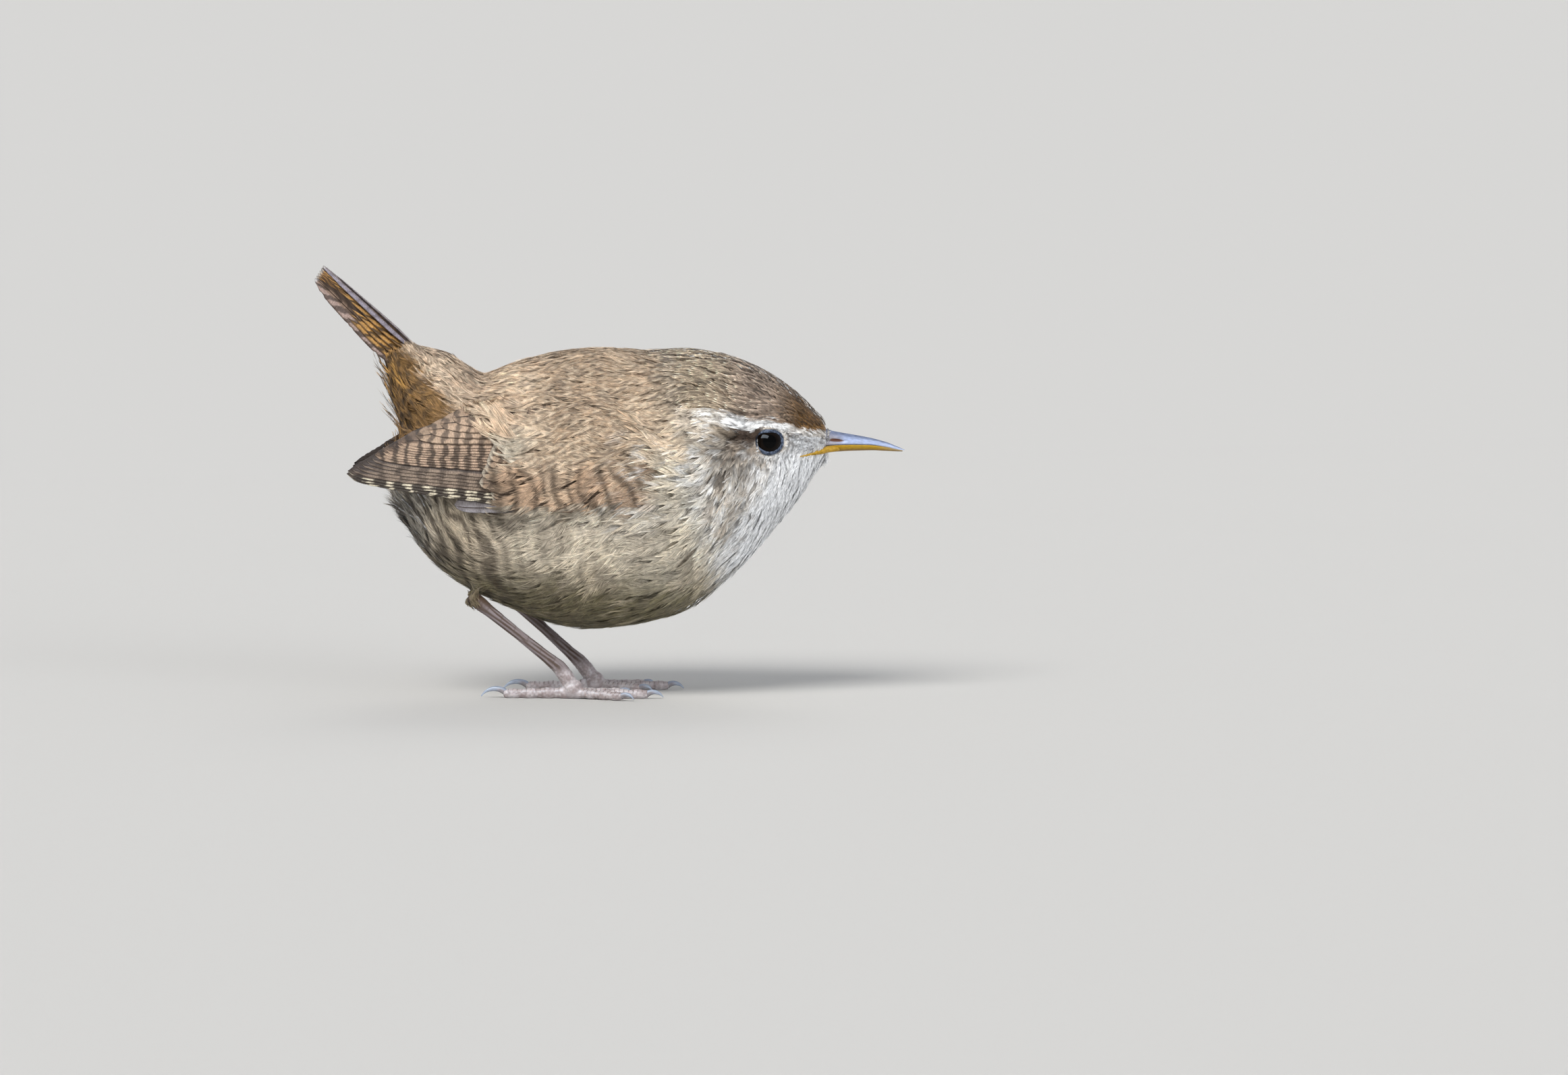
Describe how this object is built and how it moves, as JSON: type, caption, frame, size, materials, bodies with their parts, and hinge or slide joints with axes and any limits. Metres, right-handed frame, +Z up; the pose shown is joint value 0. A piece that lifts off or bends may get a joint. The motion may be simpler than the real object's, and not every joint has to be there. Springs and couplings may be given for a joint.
{
  "type": "wren",
  "caption": "Small round perching bird with a thin pointed bill, folded barred wings and a cocked tail, standing on its toes.",
  "frame": {"origin": "centre of the bounding box's underside, on the floor under the bird", "axes": "+X the way the bill points, +Y to the bird's left, +Z up; the bird's left and right halves lie either side of Y = 0 except for its feet"},
  "size_m": [0.0918, 0.0382, 0.067],
  "materials": {
    "plumage": "soft brown and buff feathering with fine dark bars",
    "flight_feathers": "smooth rufous brown vanes with black and buff bars",
    "upper_bill": "satin grey-brown horn",
    "lower_bill": "satin yellow horn",
    "eye": "wet gloss, near black",
    "leg_skin": "satin scaled skin, pinkish brown",
    "claw": "smooth pale horn"
  },
  "bodies": {
    "root": {"torso": "plumage", "neck": "plumage", "head": "plumage", "rump": "plumage", "thigh_right": "plumage", "thigh_left": "plumage", "tail": "flight_feathers", "wing_right": "flight_feathers", "wing_left": "flight_feathers", "bill_upper": "upper_bill", "bill_lower": "lower_bill", "eye_right": "eye", "eye_left": "eye", "tarsus_right": "leg_skin", "tarsus_left": "leg_skin", "foot_right": "leg_skin", "foot_left": "leg_skin", "claw_right_hind": "claw", "claw_right_inner": "claw", "claw_right_middle": "claw", "claw_right_outer": "claw", "claw_left_hind": "claw", "claw_left_inner": "claw", "claw_left_middle": "claw", "claw_left_outer": "claw"}
  },
  "joints": []
}
